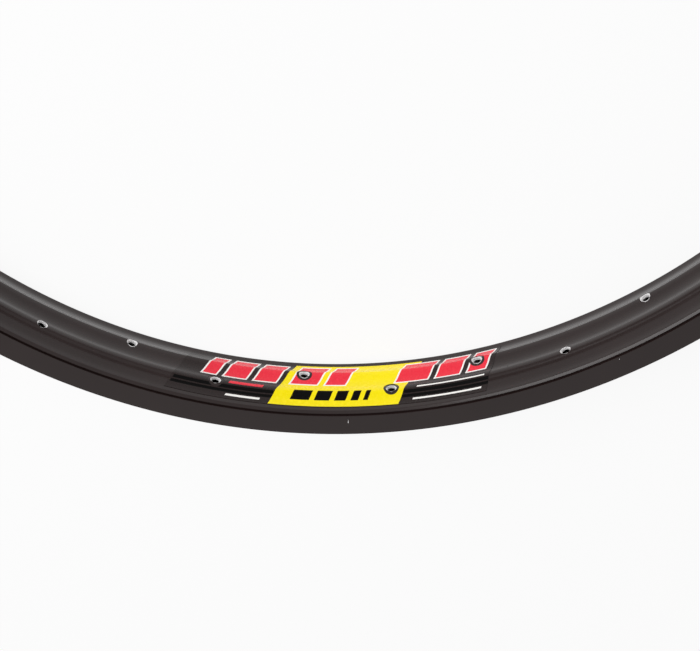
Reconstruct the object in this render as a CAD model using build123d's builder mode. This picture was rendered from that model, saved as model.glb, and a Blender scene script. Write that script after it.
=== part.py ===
"""Bicycle rim: a double-wall aluminium hoop, rolled from one extrusion and closed by a pressed-in sleeve.

Millimetres. The hoop lies flat with its axle line on +Z and its centre at the origin.
The butt joint is at -Y, under the decal, and the valve hole is opposite it, at +Y.
"""

import os
from math import cos, degrees, radians, sin

from build123d import *

# Hoop
bead_seat_diameter = 559.0
flange_height = 6.0
outer_width = 42.0
inner_width = 35.0
section_depth = 18.0

# Spoke bed: two ridges that carry the spoke rows, a shallow valley between them and two outer slopes
spoke_row_offset = 6.2
ridge_width = 6.4
valley_depth = 0.85
bed_wall = 2.0

# Side walls, with a step and a lip where they meet the spoke bed
side_wall_height = 12.9
side_step = 1.0
step_rise = 0.5
lip_height = 1.4
side_wall = 1.6

# Hooked flanges
hook_height = 2.2
hook_reach = 1.2

# Tyre bed: a bead seat along each flange and a well between them
seat_width = 4.5
well_depth = 3.3
well_width = 22.4
tyre_wall = 1.3

# Drilled holes
spoke_count = 36
spoke_hole = 4.5
access_hole = 9.0
valve_hole = 8.5
drill_overrun = 1.0

# Butt joint
joint_angle = -90.0
joint_gap = 0.1
sleeve_length = 34.0
sleeve_clearance = 0.1

# Decal: a film with slanted ends and a cut-out round each spoke hole
decal_length = 178.0
decal_width = 29.0
decal_shift = -6.0
decal_slant = 10.0
decal_hole = 8.4
film = 0.15
glue_line = 0.05

seat_radius = bead_seat_diameter / 2
flange_radius = seat_radius + flange_height
ridge_radius = flange_radius - section_depth
valley_radius = ridge_radius + valley_depth
well_radius = seat_radius - well_depth
half_width = outer_width / 2
body_half = half_width - side_step
side_wall_foot = flange_radius - side_wall_height
step_radius = side_wall_foot - step_rise
lip_radius = step_radius - lip_height
hook_half = inner_width / 2
flange_wall_half = hook_half + hook_reach
chamber_half = body_half - side_wall
ridge_near = spoke_row_offset - ridge_width / 2
ridge_far = spoke_row_offset + ridge_width / 2
spoke_pitch = 360 / spoke_count


def section_plane(angle):
    """The plane through the axle line at an angle round the hoop, with radius on x and offset on y."""
    across = Vector(cos(radians(angle)), sin(radians(angle)), 0)
    return Plane(origin=(0, 0, 0), x_dir=across, z_dir=across.cross(Vector(0, 0, 1)))


def spoke_bed(edge, lift):
    """Half of the spoke bed in section, lifted towards the axle: valley, ridge and the outer slope to an edge."""
    slope_share = (edge - ridge_far) / (body_half - ridge_far)
    slope_end = ridge_radius + (lip_radius - ridge_radius) * slope_share
    return [
        (valley_radius - lift, 0),
        (ridge_radius - lift, ridge_near),
        (ridge_radius - lift, ridge_far),
        (slope_end - lift, edge),
    ]


def spoke_lines(row, turn):
    """Places on the axle line at a row's height, each with its z-axis along a spoke."""
    spokes = PolarLocations(0, spoke_count // 2, start_angle=joint_angle + turn)
    return [spoke * Location((0, 0, row), (0, 90, 0)) for spoke in spokes]


spokes = spoke_lines(spoke_row_offset, spoke_pitch / 2) + spoke_lines(-spoke_row_offset, -spoke_pitch / 2)

# The hollow between the two beds, in section
with BuildSketch() as chamber:
    with BuildLine():
        Polyline(
            (ridge_radius + bed_wall, 0),
            (ridge_radius + bed_wall, ridge_far),
            (lip_radius + bed_wall, chamber_half),
            (seat_radius - tyre_wall, chamber_half),
            (well_radius - tyre_wall, well_width / 2),
            (well_radius - tyre_wall, 0),
        )
        mirror(about=Plane.XZ)
    make_face()

# Rim: the extrusion rolled into a hoop that is open by a hair at the butt joint, then drilled
gap_angle = degrees(joint_gap / ridge_radius)
with BuildPart() as rim:
    with BuildSketch(section_plane(joint_angle + gap_angle / 2)):
        with BuildLine():
            Polyline(
                *spoke_bed(body_half, 0),
                (step_radius, body_half),
                (side_wall_foot, half_width),
                (flange_radius, half_width),
                (flange_radius, hook_half),
                (flange_radius - hook_height, hook_half),
                (seat_radius, flange_wall_half),
                (seat_radius, flange_wall_half - seat_width),
                (well_radius, well_width / 2),
                (well_radius, 0),
            )
            mirror(about=Plane.XZ)
        make_face()
        add(chamber.sketch, mode=Mode.SUBTRACT)
    revolve(axis=Axis.Z, revolution_arc=360 - gap_angle)
    with Locations(*[spoke * Location((0, 0, ridge_radius + bed_wall + drill_overrun)) for spoke in spokes]):
        Hole(spoke_hole / 2, depth=bed_wall + 2 * drill_overrun)
    with Locations(*[spoke * Location((0, 0, well_radius + drill_overrun)) for spoke in spokes]):
        Hole(access_hole / 2, depth=tyre_wall + 2 * drill_overrun)
    with Locations(section_plane(joint_angle + 180).location * Location((flange_radius, 0, 0), (0, 90, 0))):
        Hole(valve_hole / 2, depth=section_depth)

rim.part.label = "rim"
os.makedirs("parts", exist_ok=True)
export_step(rim.part, "parts/rim.step")

# Joint sleeve: a bar of the hollow's own section, pressed half into each end of the hoop
sleeve_angle = degrees(sleeve_length / well_radius)
with BuildPart() as joint_sleeve:
    with BuildSketch(section_plane(joint_angle - sleeve_angle / 2)):
        add(chamber.sketch)
        offset(amount=-sleeve_clearance, mode=Mode.REPLACE)
    revolve(axis=Axis.Z, revolution_arc=sleeve_angle)

joint_sleeve.part.label = "joint_sleeve"
export_step(joint_sleeve.part, "parts/joint_sleeve.step")

# Decal: the film follows the spoke bed across the joint
half_length = decal_length / 2
half_decal = decal_width / 2
with BuildPart() as decal:
    with BuildSketch(section_plane(joint_angle - 90)):
        with BuildLine():
            stuck_side = Polyline(*spoke_bed(half_decal, glue_line))
            print_side = Polyline(*spoke_bed(half_decal, glue_line + film))
            Line(stuck_side @ 1, print_side @ 1)
            mirror(about=Plane.XZ)
        make_face()
    revolve(axis=Axis.Z, revolution_arc=180)
    with BuildSketch(Plane.XZ):
        with Locations((decal_shift, 0)):
            Polygon(
                (decal_slant - half_length, -half_decal),
                (half_length, -half_decal),
                (half_length - decal_slant, half_decal),
                (-half_length, half_decal),
                align=None,
            )
    extrude(amount=flange_radius, mode=Mode.INTERSECT)
    with Locations(*[spoke * Location((0, 0, valley_radius)) for spoke in spokes]):
        Hole(decal_hole / 2, depth=valley_depth + glue_line + film + drill_overrun)

decal.part.label = "decal"
export_step(decal.part, "parts/decal.step")
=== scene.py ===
"""Bicycle rim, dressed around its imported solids: painted hoop, joint sleeve, printed decal and studio."""

from math import atan2, cos, degrees, pi, radians, sin

import bmesh
import bpy
from mathutils import Euler, Matrix, Vector


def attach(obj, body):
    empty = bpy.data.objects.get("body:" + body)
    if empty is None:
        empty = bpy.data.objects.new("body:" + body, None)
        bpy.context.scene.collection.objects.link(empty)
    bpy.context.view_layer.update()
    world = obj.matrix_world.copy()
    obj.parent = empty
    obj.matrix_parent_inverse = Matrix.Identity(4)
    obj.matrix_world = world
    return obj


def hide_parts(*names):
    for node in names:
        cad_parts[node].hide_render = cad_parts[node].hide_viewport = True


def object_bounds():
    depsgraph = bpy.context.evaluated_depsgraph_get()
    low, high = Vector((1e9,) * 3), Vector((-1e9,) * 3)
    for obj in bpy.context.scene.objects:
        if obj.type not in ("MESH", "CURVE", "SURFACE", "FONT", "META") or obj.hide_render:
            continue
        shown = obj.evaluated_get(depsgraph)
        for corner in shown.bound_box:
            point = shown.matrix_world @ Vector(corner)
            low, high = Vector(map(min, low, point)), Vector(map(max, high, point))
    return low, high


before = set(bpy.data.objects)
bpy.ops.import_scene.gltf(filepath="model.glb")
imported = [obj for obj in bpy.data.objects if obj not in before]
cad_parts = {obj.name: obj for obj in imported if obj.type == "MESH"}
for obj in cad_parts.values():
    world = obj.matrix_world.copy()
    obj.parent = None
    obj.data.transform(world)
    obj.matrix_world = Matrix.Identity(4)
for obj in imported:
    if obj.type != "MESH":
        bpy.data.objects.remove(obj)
cad_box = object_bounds()

# The rim is one aluminium extrusion, rolled into a hoop, cut to length and butted at -Y.
# It is painted satin black, then drilled from both sides, so every hole has an edge of bare metal.
mm = 0.001
joint_angle = -90.0
joint_gap = 0.02
hoop_steps = 360

# Corners of half the section in millimetres: (radius, offset from the middle plane, length of the rounding).
# The bed runs from its valley over a rounded ridge, down a steep shoulder and along a slope that flattens.
# The wall goes on over the lip, its groove, the flat side and the hooked flange, over the bead seat and into
# the well of the tyre bed.
bed_corners = [
    (269.25, 0.0, 4.2),
    (267.27, 6.2, 1.4),
    (267.4, 8.0, 0.35),
    (267.95, 9.1, 0.25),
    (268.4, 9.75, 0.25),
    (269.3, 11.75, 0.8),
    (270.2, 14.6, 0.95),
    (270.45, 16.6, 0.85),
]
wall_corners = [
    (270.42, 19.15, 0.25),
    (271.7, 20.25, 0.15),
    (271.95, 19.35, 0.1),
    (272.7, 19.35, 0.1),
    (272.8, 21.0, 0.25),
    (285.5, 21.0, 0.15),
    (285.5, 17.5, 0.9),
    (283.3, 17.5, 0.5),
    (281.8, 18.7, 0.8),
    (279.5, 18.7, 0.9),
    (279.5, 14.2, 1.0),
    (276.2, 11.2, 1.5),
]
hollow_corners = [
    (269.5, 9.4, 0.8),
    (272.7, 18.4, 0.8),
    (278.2, 18.4, 0.8),
    (274.9, 11.2, 0.8),
]
valley_radius = bed_corners[0][0]
ridge_radius = bed_corners[1][0]
fewest_facets = 2
facets_per_mm = 2


def section_line(mesh, corners, closed):
    """A line of the section: half of its corners, mirrored about the middle plane and rounded."""
    mirrored = [(radius, -offset, rounding) for radius, offset, rounding in corners if offset > 0]
    whole = mirrored[::-1] + corners
    verts = [mesh.verts.new((radius * mm, 0, offset * mm)) for radius, offset, rounding in whole]
    for here, after in zip(verts, verts[1:] + verts[:1] if closed else verts[1:]):
        mesh.edges.new((here, after))
    bends = list(zip(verts, whole))
    for vert, (radius, offset, rounding) in bends if closed else bends[1:-1]:
        facets = fewest_facets + round(facets_per_mm * rounding)
        bmesh.ops.bevel(mesh, geom=[vert], offset=rounding * mm, segments=facets,
                        profile=0.5, affect="VERTICES", material=-1)


def roll(mesh, start, turn, steps):
    """Sweeps the section that a mesh holds round the axle line. Its angles are in degrees."""
    to_start = Matrix.Rotation(radians(start), 3, "Z")
    bmesh.ops.rotate(mesh, verts=mesh.verts, cent=(0, 0, 0), matrix=to_start)
    bmesh.ops.spin(mesh, geom=mesh.verts[:] + mesh.edges[:], cent=(0, 0, 0), axis=(0, 0, 1), dvec=(0, 0, 0),
                   angle=radians(turn), steps=steps, use_merge=False)


def join(mesh, other):
    """Puts all of another mesh into a mesh, and frees the other."""
    carrier = bpy.data.meshes.new("carrier")
    other.to_mesh(carrier)
    other.free()
    mesh.from_mesh(carrier)
    bpy.data.meshes.remove(carrier)


def add_piece(name, mesh):
    """Turns a finished bmesh into an object at the origin."""
    piece = bpy.data.objects.new(name, bpy.data.meshes.new(name))
    mesh.to_mesh(piece.data)
    mesh.free()
    bpy.context.scene.collection.objects.link(piece)
    return piece


gap_angle = degrees(joint_gap / valley_radius)
hoop_start = joint_angle + gap_angle / 2
hoop_end = joint_angle - gap_angle / 2
hoop_turn = 360 - gap_angle

# The rim's finishes are paint, then drilled metal, then metal as extruded, which is left in the hollow.
as_extruded = 2
hollow = bmesh.new()
section_line(hollow, hollow_corners, closed=True)
roll(hollow, hoop_start, hoop_turn, hoop_steps)
for face in hollow.faces:
    face.material_index = as_extruded
hoop = bmesh.new()
section_line(hoop, bed_corners + wall_corners, closed=True)
roll(hoop, hoop_start, hoop_turn, hoop_steps)
join(hoop, hollow)

# Both cut ends of the hoop are closed round the hollow.
cut_reach = joint_gap * mm / 10
for end in (hoop_start, hoop_end):
    along = Vector((-sin(radians(end)), cos(radians(end)), 0))
    cut_face = [edge for edge in hoop.edges if edge.is_boundary
                and all(abs(vert.co.dot(along)) < cut_reach for vert in edge.verts)]
    bmesh.ops.triangle_fill(hoop, use_beauty=True, edges=cut_face)
bmesh.ops.recalc_face_normals(hoop, faces=hoop.faces)
rim = add_piece("rim_painted", hoop)

# A drill is a list of (distance from the axle line, radius) in millimetres, and opens out where an edge
# is deburred. A spoke's drill widens behind the spoke bed to let a nipple through the tyre bed.
spoke_count = 36
spoke_row_offset = 6.2
spoke_drill = [
    (265.0, 0.0),
    (265.0, 5.25),
    (268.0, 2.25),
    (270.5, 2.25),
    (272.0, 4.5),
    (275.9, 4.5),
    (277.4, 6.0),
    (277.4, 0.0),
]
valve_drill = [
    (266.5, 0.0),
    (266.5, 6.55),
    (268.8, 4.25),
    (275.9, 4.25),
    (277.2, 5.55),
    (277.2, 0.0),
]
drill_sides = 40
same_place = mm / 1000


def add_drill(mesh, stations, place):
    """The round sweep of a tool along its x-axis, put where the matrix says. Returns its faces."""
    tool = bmesh.new()
    verts = [tool.verts.new((along * mm, radius * mm, 0)) for along, radius in stations]
    edges = [tool.edges.new(pair) for pair in zip(verts, verts[1:])]
    bmesh.ops.spin(tool, geom=verts + edges, cent=(0, 0, 0), axis=(1, 0, 0), dvec=(0, 0, 0),
                   angle=2 * pi, steps=drill_sides, use_merge=True)
    bmesh.ops.remove_doubles(tool, verts=tool.verts, dist=same_place)
    bmesh.ops.recalc_face_normals(tool, faces=tool.faces)
    bmesh.ops.transform(tool, matrix=place, verts=tool.verts)
    before = len(mesh.faces)
    join(mesh, tool)
    mesh.faces.ensure_lookup_table()
    return mesh.faces[before:]


def spoke_line(spoke):
    """The line of a spoke hole, on its own side of the middle plane."""
    row = spoke_row_offset if spoke % 2 == 0 else -spoke_row_offset
    angle = joint_angle + (spoke + 0.5) * 360 / spoke_count
    return Matrix.Translation((0, 0, row * mm)) @ Matrix.Rotation(radians(angle), 4, "Z")


drills = bmesh.new()
for spoke in range(spoke_count):
    add_drill(drills, spoke_drill, spoke_line(spoke))
add_drill(drills, valve_drill, Matrix.Rotation(radians(joint_angle + 180), 4, "Z"))

# Wear: paint chipped off the side wall along the joint and at one speck, and two dents in the bed.
# A chip is (angle, radius, half width, half length), cut by a stretched cone 1 mm in radius at the wall.
# A dent is (angle, offset, radius of its tip). It stays painted, where other cuts leave drilled metal.
chips = [
    (-89.93, 276.6, 0.16, 1.1),
    (-89.93, 274.7, 0.1, 0.25),
    (-59.87, 274.2, 0.18, 0.2),
]
chip_cone = [(20.8, 0.0), (21.2, 2.0), (21.2, 0.0)]
dents = [
    (-69.96, -9.7, 268.35),
    (-71.64, 4.2, 268.2),
]
dent_height = 1.5
dent_radius = 1.8
painted_cut = 1
for angle, radius, half_width, half_length in chips:
    wall_place = Matrix.Rotation(radians(angle), 4, "Z") @ Matrix.Translation((radius * mm, 0, 0))
    to_wall = Matrix.Rotation(radians(-90), 4, "Y")
    add_drill(drills, chip_cone, wall_place @ to_wall @ Matrix.Diagonal((1, half_width, half_length, 1)))
for angle, offset, tip in dents:
    bed_place = Matrix.Translation((0, 0, offset * mm)) @ Matrix.Rotation(radians(angle), 4, "Z")
    dent_cone = [(tip, 0.0), (tip - dent_height, dent_radius), (tip - dent_height, 0.0)]
    for face in add_drill(drills, dent_cone, bed_place):
        face.material_index = painted_cut
drill_set = add_piece("drills", drills)

# The paint has broken away in a thin ring round each spoke hole.
bare_ring = 2.6
ring_cutter = [(264.0, 0.0), (264.0, bare_ring), (272.0, bare_ring), (272.0, 0.0)]
paint_depth = 0.04
paint_lift = 0.3
bed_line = bed_corners + wall_corners[:1]


def bed_sheet(lift, start, turn, steps):
    """A sheet along the spoke bed, lifted from it towards the axle line, which its faces look at."""
    mesh = bmesh.new()
    lifted = [(radius - lift, offset, rounding) for radius, offset, rounding in bed_line]
    section_line(mesh, lifted, closed=False)
    roll(mesh, start, turn, steps)
    bmesh.ops.recalc_face_normals(mesh, faces=mesh.faces)
    if sum(face.normal.dot(face.calc_center_median()) for face in mesh.faces) > 0:
        bmesh.ops.reverse_faces(mesh, faces=mesh.faces)
    return mesh


paint_sheet = bed_sheet(paint_lift, hoop_start, hoop_turn, hoop_steps)
bmesh.ops.solidify(paint_sheet, geom=paint_sheet.faces[:], thickness=(paint_lift + paint_depth) * mm)
bare_rings = add_piece("bare_rings", paint_sheet)
ring_cutters = bmesh.new()
for spoke in range(spoke_count):
    add_drill(ring_cutters, ring_cutter, spoke_line(spoke))
ring_cutter_set = add_piece("ring_cutters", ring_cutters)


def linear(hex_colour):
    """An sRGB hex colour as linear RGBA."""
    channels = []
    for place in (1, 3, 5):
        share = int(hex_colour[place:place + 2], 16) / 255
        channels.append(share / 12.92 if share <= 0.04045 else ((share + 0.055) / 1.055) ** 2.4)
    return channels + [1.0]


def add_node(tree, kind, settings=None, **inputs):
    """Adds a node with its settings. An input, by name or as i and its number, is a value or an output."""
    node = tree.nodes.new(kind)
    for name, value in (settings or {}).items():
        setattr(node, name, value)
    for name, value in inputs.items():
        key = int(name[1:]) if name[0] == "i" and name[1:].isdigit() else name.replace("_", " ")
        if isinstance(value, bpy.types.NodeSocket):
            tree.links.new(value, node.inputs[key])
        else:
            node.inputs[key].default_value = value
    return node


def new_material(name):
    """An empty material and its node tree."""
    material = bpy.data.materials.new(name)
    material.use_nodes = True
    material.node_tree.nodes.clear()
    return material, material.node_tree


# Satin black paint, sprayed and baked on aluminium: a soft sheen with a faint orange peel, slightly warm,
# and clouded a little where the coat is thicker.
cloud_width = 35 * mm
peel_width = 1.2 * mm
peel_depth = 0.05 * mm
paint, tree = new_material("satin_black_paint")
place = add_node(tree, "ShaderNodeTexCoord").outputs["Object"]
clouds = add_node(tree, "ShaderNodeTexNoise", Vector=place, Scale=1 / cloud_width, Detail=3.0)
coat = add_node(tree, "ShaderNodeMix", {"data_type": "RGBA"}, i0=clouds.outputs["Fac"],
                i6=linear("#211716"), i7=linear("#2a1f1e"))
sheen = add_node(tree, "ShaderNodeMapRange", Value=clouds.outputs["Fac"], To_Min=0.16, To_Max=0.22)
peel = add_node(tree, "ShaderNodeTexNoise", Vector=place, Scale=1 / peel_width, Detail=2.0)
relief = add_node(tree, "ShaderNodeBump", Height=peel.outputs["Fac"], Strength=0.08, Distance=peel_depth)
skin = add_node(tree, "ShaderNodeBsdfPrincipled", Base_Color=coat.outputs[2], IOR=1.33,
                Roughness=sheen.outputs["Result"], Normal=relief.outputs["Normal"])
add_node(tree, "ShaderNodeOutputMaterial", Surface=skin.outputs["BSDF"])

# Freshly drilled aluminium: bright bare metal, scattered by the tool's fine marks round each hole.
# The marks are too fine to show, so they are drawn half a millimetre wide.
mark_width = 0.5 * mm
bare, tree = new_material("drilled_aluminium")
place = add_node(tree, "ShaderNodeTexCoord").outputs["Object"]
marks = add_node(tree, "ShaderNodeTexNoise", Vector=place, Scale=1 / mark_width, Detail=2.0)
cut = add_node(tree, "ShaderNodeMapRange", Value=marks.outputs["Fac"], To_Min=0.8, To_Max=1.0)
metal = add_node(tree, "ShaderNodeBsdfPrincipled", Base_Color=linear("#dfdede"), Metallic=1.0,
                 Roughness=cut.outputs["Result"])
add_node(tree, "ShaderNodeOutputMaterial", Surface=metal.outputs["BSDF"])

# Aluminium as it left the die: dull grey metal with faint streaks that run along the hoop, since their noise
# reads only the distance from the axle line and the height. They are drawn wider than the die's fine lines.
streak_width = 0.8 * mm
mill, tree = new_material("extruded_aluminium")
place = add_node(tree, "ShaderNodeTexCoord").outputs["Object"]
flat = add_node(tree, "ShaderNodeVectorMath", {"operation": "MULTIPLY"}, i0=place, i1=(1, 1, 0))
reach = add_node(tree, "ShaderNodeVectorMath", {"operation": "LENGTH"}, i0=flat.outputs["Vector"])
height = add_node(tree, "ShaderNodeSeparateXYZ", Vector=place)
across = add_node(tree, "ShaderNodeCombineXYZ", X=reach.outputs["Value"], Y=height.outputs["Z"])
streaks = add_node(tree, "ShaderNodeTexNoise", Vector=across.outputs["Vector"], Scale=1 / streak_width,
                   Detail=3.0)
dull = add_node(tree, "ShaderNodeMapRange", Value=streaks.outputs["Fac"], To_Min=0.35, To_Max=0.6)
metal = add_node(tree, "ShaderNodeBsdfPrincipled", Base_Color=linear("#a9a8a6"), Metallic=1.0,
                 Roughness=dull.outputs["Result"])
add_node(tree, "ShaderNodeOutputMaterial", Surface=metal.outputs["BSDF"])

# Slivers that a cut leaves, thinner than this in millimetres, are merged away.
sliver = 0.01


def cut_out(piece, tools, operation="DIFFERENCE"):
    """Takes the tools' shapes out of a piece, or keeps only those. Cut faces keep the tools' materials."""
    cutting = piece.modifiers.new("cutting", "BOOLEAN")
    cutting.object = tools
    cutting.operation = operation
    cutting.solver = "EXACT"
    cutting.material_mode = "TRANSFER"
    result = piece.evaluated_get(bpy.context.evaluated_depsgraph_get())
    piece.data = bpy.data.meshes.new_from_object(result)
    piece.modifiers.clear()
    bpy.data.objects.remove(tools)
    trimmed = bmesh.new()
    trimmed.from_mesh(piece.data)
    bmesh.ops.remove_doubles(trimmed, verts=trimmed.verts, dist=sliver * mm)
    bmesh.ops.dissolve_degenerate(trimmed, edges=trimmed.edges, dist=sliver * mm)
    trimmed.to_mesh(piece.data)
    trimmed.free()


# Edges that turn by more than this stay crisp.
sharp_angle = 32


def shade_smooth(piece):
    """Smooth shading that stops at sharp edges."""
    piece.data.shade_smooth()
    piece.data.set_sharp_from_angle(angle=radians(sharp_angle))
    piece.modifiers.new("even_shading", "WEIGHTED_NORMAL").keep_sharp = True


for material in (paint, bare, mill):
    rim.data.materials.append(material)
for material in (bare, paint):
    drill_set.data.materials.append(material)
for rings in (bare_rings, ring_cutter_set):
    rings.data.materials.append(bare)
cut_out(bare_rings, ring_cutter_set, "INTERSECT")
cut_out(rim, bare_rings)
cut_out(rim, drill_set)
shade_smooth(rim)
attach(rim, "root")
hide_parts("rim")

# The joint sleeve is a bar of the hollow's own section, pressed half into each end of the hoop.
# It is aluminium as extruded, closed in by the rim's walls.
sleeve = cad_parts["joint_sleeve"]
sleeve.data.materials.clear()
sleeve.data.materials.append(mill)

# The decal is a printed vinyl film, die-cut round the spoke holes and stuck on the spoke bed over the joint.
# Its print is slanted fields of colour on a clear ground, which shows the black paint.
film = 0.15
glue_line = 0.05
decal_half_width = 16.4
left_end, right_end = -90.0, 78.0
end_lean = 0.345
decal_hole = 8.4
decal_punch = [(260.0, 0.0), (260.0, decal_hole / 2), (272.0, decal_hole / 2), (272.0, 0.0)]
decal_spokes = (-2, -1, 0, 1)
decal_turn = 42.0
decal_steps = 84

sheet = bed_sheet(glue_line + film, joint_angle - decal_turn / 2, decal_turn, decal_steps)


def cut_line(mesh, at, lean, **keep):
    """Cuts the film across the bed, on a line at a place on the middle plane and with a slope."""
    turn = radians(joint_angle) + at / ridge_radius
    out = Vector((cos(turn), sin(turn), 0))
    along = Vector((-sin(turn), cos(turn), 0))
    bmesh.ops.bisect_plane(mesh, geom=mesh.verts[:] + mesh.edges[:] + mesh.faces[:], dist=same_place,
                           plane_co=out * ridge_radius * mm, plane_no=along + Vector((0, 0, lean)), **keep)


def cut_level(mesh, offset, **keep):
    """Cuts the film along the hoop at an offset from the middle plane."""
    bmesh.ops.bisect_plane(mesh, geom=mesh.verts[:] + mesh.edges[:] + mesh.faces[:], dist=same_place,
                           plane_co=(0, 0, offset * mm), plane_no=(0, 0, 1), **keep)


cut_line(sheet, left_end, end_lean, clear_inner=True)
cut_line(sheet, right_end, end_lean, clear_outer=True)
cut_level(sheet, decal_half_width, clear_outer=True)
cut_level(sheet, -decal_half_width, clear_inner=True)

# Fields of the print: (left, right, far edge, near edge, colour), slanted, each laid over those before it.
# A yellow panel lies over the joint, with a row of outlined red blocks across it and black bars that get
# thinner. Black stripes and white and red lines run along the near side.
lean = 0.43
outline = 0.9
yellow, red, white, black, clear = "#fae600", "#ec2c40", "#f7f5f2", "#0a0909", "#211716"
block_far, block_near = -14.0, 1.0
block_spans = [
    (-77.0, -70.0),
    (-65.5, -54.0),
    (-49.5, -38.0),
    (-30.0, -16.0),
    (-11.5, -1.0),
    (26.0, 43.0),
    (47.5, 60.0),
    (64.5, 74.0),
]
bar_far, bar_near = 7.0, 12.4
bar_start = -25.0
bar_gap = 2.6
bar_widths = (10.0, 8.0, 6.0, 4.0, 2.5)
fields = [
    (-88.0, 82.0, 8.6, 10.2, black),
    (-88.0, 82.0, 10.9, 12.5, black),
    (-34.6, 33.4, -16.2, 16.2, yellow),
]
for left, right in block_spans:
    fields.append((left - outline, right + outline, block_far - outline, block_near + outline, white))
    fields.append((left, right, block_far, block_near, red))
for bar_width in bar_widths:
    fields.append((bar_start, bar_start + bar_width, bar_far, bar_near, black))
    bar_start += bar_width + bar_gap
fields += [
    (-60.0, -42.0, 5.2, 7.4, red),
    (-58.0, -40.0, 13.2, 14.4, white),
    (40.0, 76.0, 6.6, 7.6, white),
    (40.0, 76.0, 13.2, 14.2, white),
]
for left, right, far, near, colour in fields:
    cut_line(sheet, left, lean)
    cut_line(sheet, right, lean)
    cut_level(sheet, far)
    cut_level(sheet, near)

# Cuts that nearly meet are drawn together before the film gets its thickness.
print_weld = mm / 50
bmesh.ops.remove_doubles(sheet, verts=sheet.verts, dist=print_weld)
bmesh.ops.solidify(sheet, geom=sheet.faces[:], thickness=film * mm)
decal = add_piece("decal_film", sheet)
punches = bmesh.new()
for spoke in decal_spokes:
    add_drill(punches, decal_punch, spoke_line(spoke))
cut_out(decal, add_piece("punches", punches))

# Each facet of the film takes the ink of the topmost field that it lies in, with no gloss on the black.
ink = decal.data.attributes.new("ink", "FLOAT_COLOR", "FACE")
for part in decal.data.polygons:
    x, y, z = part.center / mm
    across = (atan2(y, x) - radians(joint_angle)) * ridge_radius + lean * z
    colour = clear
    for left, right, far, near, tint in fields:
        if left < across < right and far < z < near:
            colour = tint
    ink.data[part.index].color = linear(colour)[:3] + [0.0 if colour == black else 1.0]

# Printed vinyl: solid screen inks under a clear gloss film, with a faint unevenness of the ink.
# The black is matt, which the ink's alpha tells.
mottle_width = 2 * mm
vinyl, tree = new_material("printed_vinyl")
place = add_node(tree, "ShaderNodeTexCoord").outputs["Object"]
inks = add_node(tree, "ShaderNodeAttribute", {"attribute_name": "ink"})
mottle = add_node(tree, "ShaderNodeTexNoise", Vector=place, Scale=1 / mottle_width, Detail=2.0)
thin = add_node(tree, "ShaderNodeMapRange", Value=mottle.outputs["Fac"], To_Min=0.97, To_Max=1.0)
printed = add_node(tree, "ShaderNodeMix", {"data_type": "RGBA", "blend_type": "MULTIPLY"}, i0=1.0,
                   i6=inks.outputs["Color"], i7=thin.outputs["Result"])
gloss = add_node(tree, "ShaderNodeMapRange", Value=mottle.outputs["Fac"], To_Min=0.22, To_Max=0.32)
shine = add_node(tree, "ShaderNodeMapRange", Value=inks.outputs["Alpha"], To_Min=0.05, To_Max=0.2)
skin = add_node(tree, "ShaderNodeBsdfPrincipled", Base_Color=printed.outputs[2],
                Roughness=gloss.outputs["Result"], Specular_IOR_Level=shine.outputs["Result"])
add_node(tree, "ShaderNodeOutputMaterial", Surface=skin.outputs["BSDF"])
decal.data.materials.clear()
decal.data.materials.append(vinyl)
shade_smooth(decal)
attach(decal, "root")
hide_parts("decal")

# The floor is white studio paper that the rim lies on. The camera and reflections see it nearly white,
# and it keeps part of the rim's shadow.
floor_radius = 3.0
floor_sides = 64
floor_height = cad_box[0][2]
paper_glow = 0.9


def seen_directly(tree):
    """1 for what the camera sees, mirrored or through something clear too, and 0 for what lights things."""
    rays = add_node(tree, "ShaderNodeLightPath")
    seen = add_node(tree, "ShaderNodeMath", {"operation": "MAXIMUM"}, i0=rays.outputs["Is Camera Ray"],
                    i1=rays.outputs["Is Glossy Ray"])
    seen = add_node(tree, "ShaderNodeMath", {"operation": "MAXIMUM"}, i0=seen.outputs[0],
                    i1=rays.outputs["Is Transmission Ray"])
    return seen.outputs[0]


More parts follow.
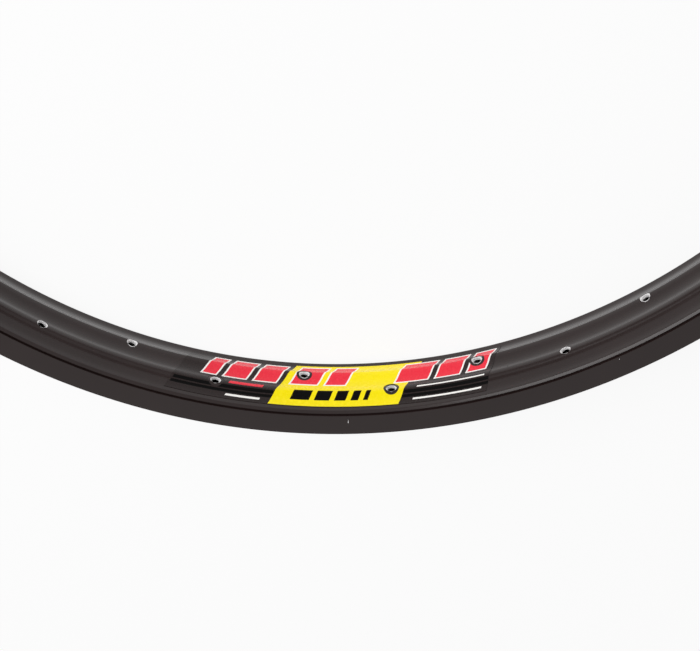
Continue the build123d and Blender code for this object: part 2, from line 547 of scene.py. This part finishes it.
paper, tree = new_material("white_paper")
share = add_node(tree, "ShaderNodeMath", {"operation": "MULTIPLY"}, i0=seen_directly(tree), i1=paper_glow)
matt = add_node(tree, "ShaderNodeBsdfDiffuse", Color=linear("#f6f6f6"))
glow = add_node(tree, "ShaderNodeEmission", Color=(1, 1, 1, 1), Strength=1.0)
mixed = add_node(tree, "ShaderNodeMixShader", i0=share.outputs[0], i1=matt.outputs[0], i2=glow.outputs[0])
add_node(tree, "ShaderNodeOutputMaterial", Surface=mixed.outputs[0])
sweep = bmesh.new()
bmesh.ops.create_circle(sweep, cap_ends=True, segments=floor_sides, radius=floor_radius,
                        matrix=Matrix.Translation((0, 0, floor_height)))
floor = add_piece("floor", sweep)
floor.data.materials.append(paper)

# Soft studio light: a white room, one large lamp above the hoop, on the left, and a faint light table
# inside the hoop, which the glossy spoke bed mirrors.
room_light = 0.4
key_size = 1.0
key_power = 17.0
key_place = Vector((-0.85, 0.65, 1.0))
key_target = Vector((0, -0.27, 0))
table_size = 0.542
table_power = 0.23
table_lift = mm / 2

world = bpy.data.worlds.new("studio")
bpy.context.scene.world = world
world.use_nodes = True
tree = world.node_tree
tree.nodes.clear()
level = add_node(tree, "ShaderNodeMath", {"operation": "MULTIPLY_ADD"}, i0=seen_directly(tree),
                 i1=1 - room_light, i2=room_light)
room = add_node(tree, "ShaderNodeBackground", Color=(1, 1, 1, 1), Strength=level.outputs[0])
add_node(tree, "ShaderNodeOutputWorld", Surface=room.outputs[0])


def add_lamp(name, shape, size, power):
    """An area lamp at the origin, facing down. Its size is in metres and its power in watts."""
    lamp = bpy.data.lights.new(name, "AREA")
    lamp.shape = shape
    lamp.size = size
    lamp.energy = power
    holder = bpy.data.objects.new(name, lamp)
    bpy.context.scene.collection.objects.link(holder)
    return holder


key_light = add_lamp("key_light", "SQUARE", key_size, key_power)
key_light.location = key_place
key_light.rotation_euler = (key_target - key_light.location).to_track_quat("-Z", "Y").to_euler()
light_table = add_lamp("light_table", "DISK", table_size, table_power)
light_table.location = (0, 0, floor_height + table_lift)
light_table.rotation_euler = (pi, 0, 0)
light_table.visible_camera = False

# The camera stands over the hoop's middle and looks down at the spoke bed round the joint.
# Its place is in metres, its turns are in degrees, and its lens is a long one on a full frame.
camera_place = (0.01707, 0.13050, 0.46202)
camera_turns = (-37.895, 0.464, -1.720)
lens = bpy.data.cameras.new("camera")
lens.sensor_width = 36.0
lens.lens = 58.54
lens.clip_start = 0.01
camera = bpy.data.objects.new("camera", lens)
bpy.context.scene.collection.objects.link(camera)
camera.location = camera_place
camera.rotation_euler = Euler([radians(angle) for angle in camera_turns])
bpy.context.scene.camera = camera
bpy.context.scene.view_settings.view_transform = "Standard"
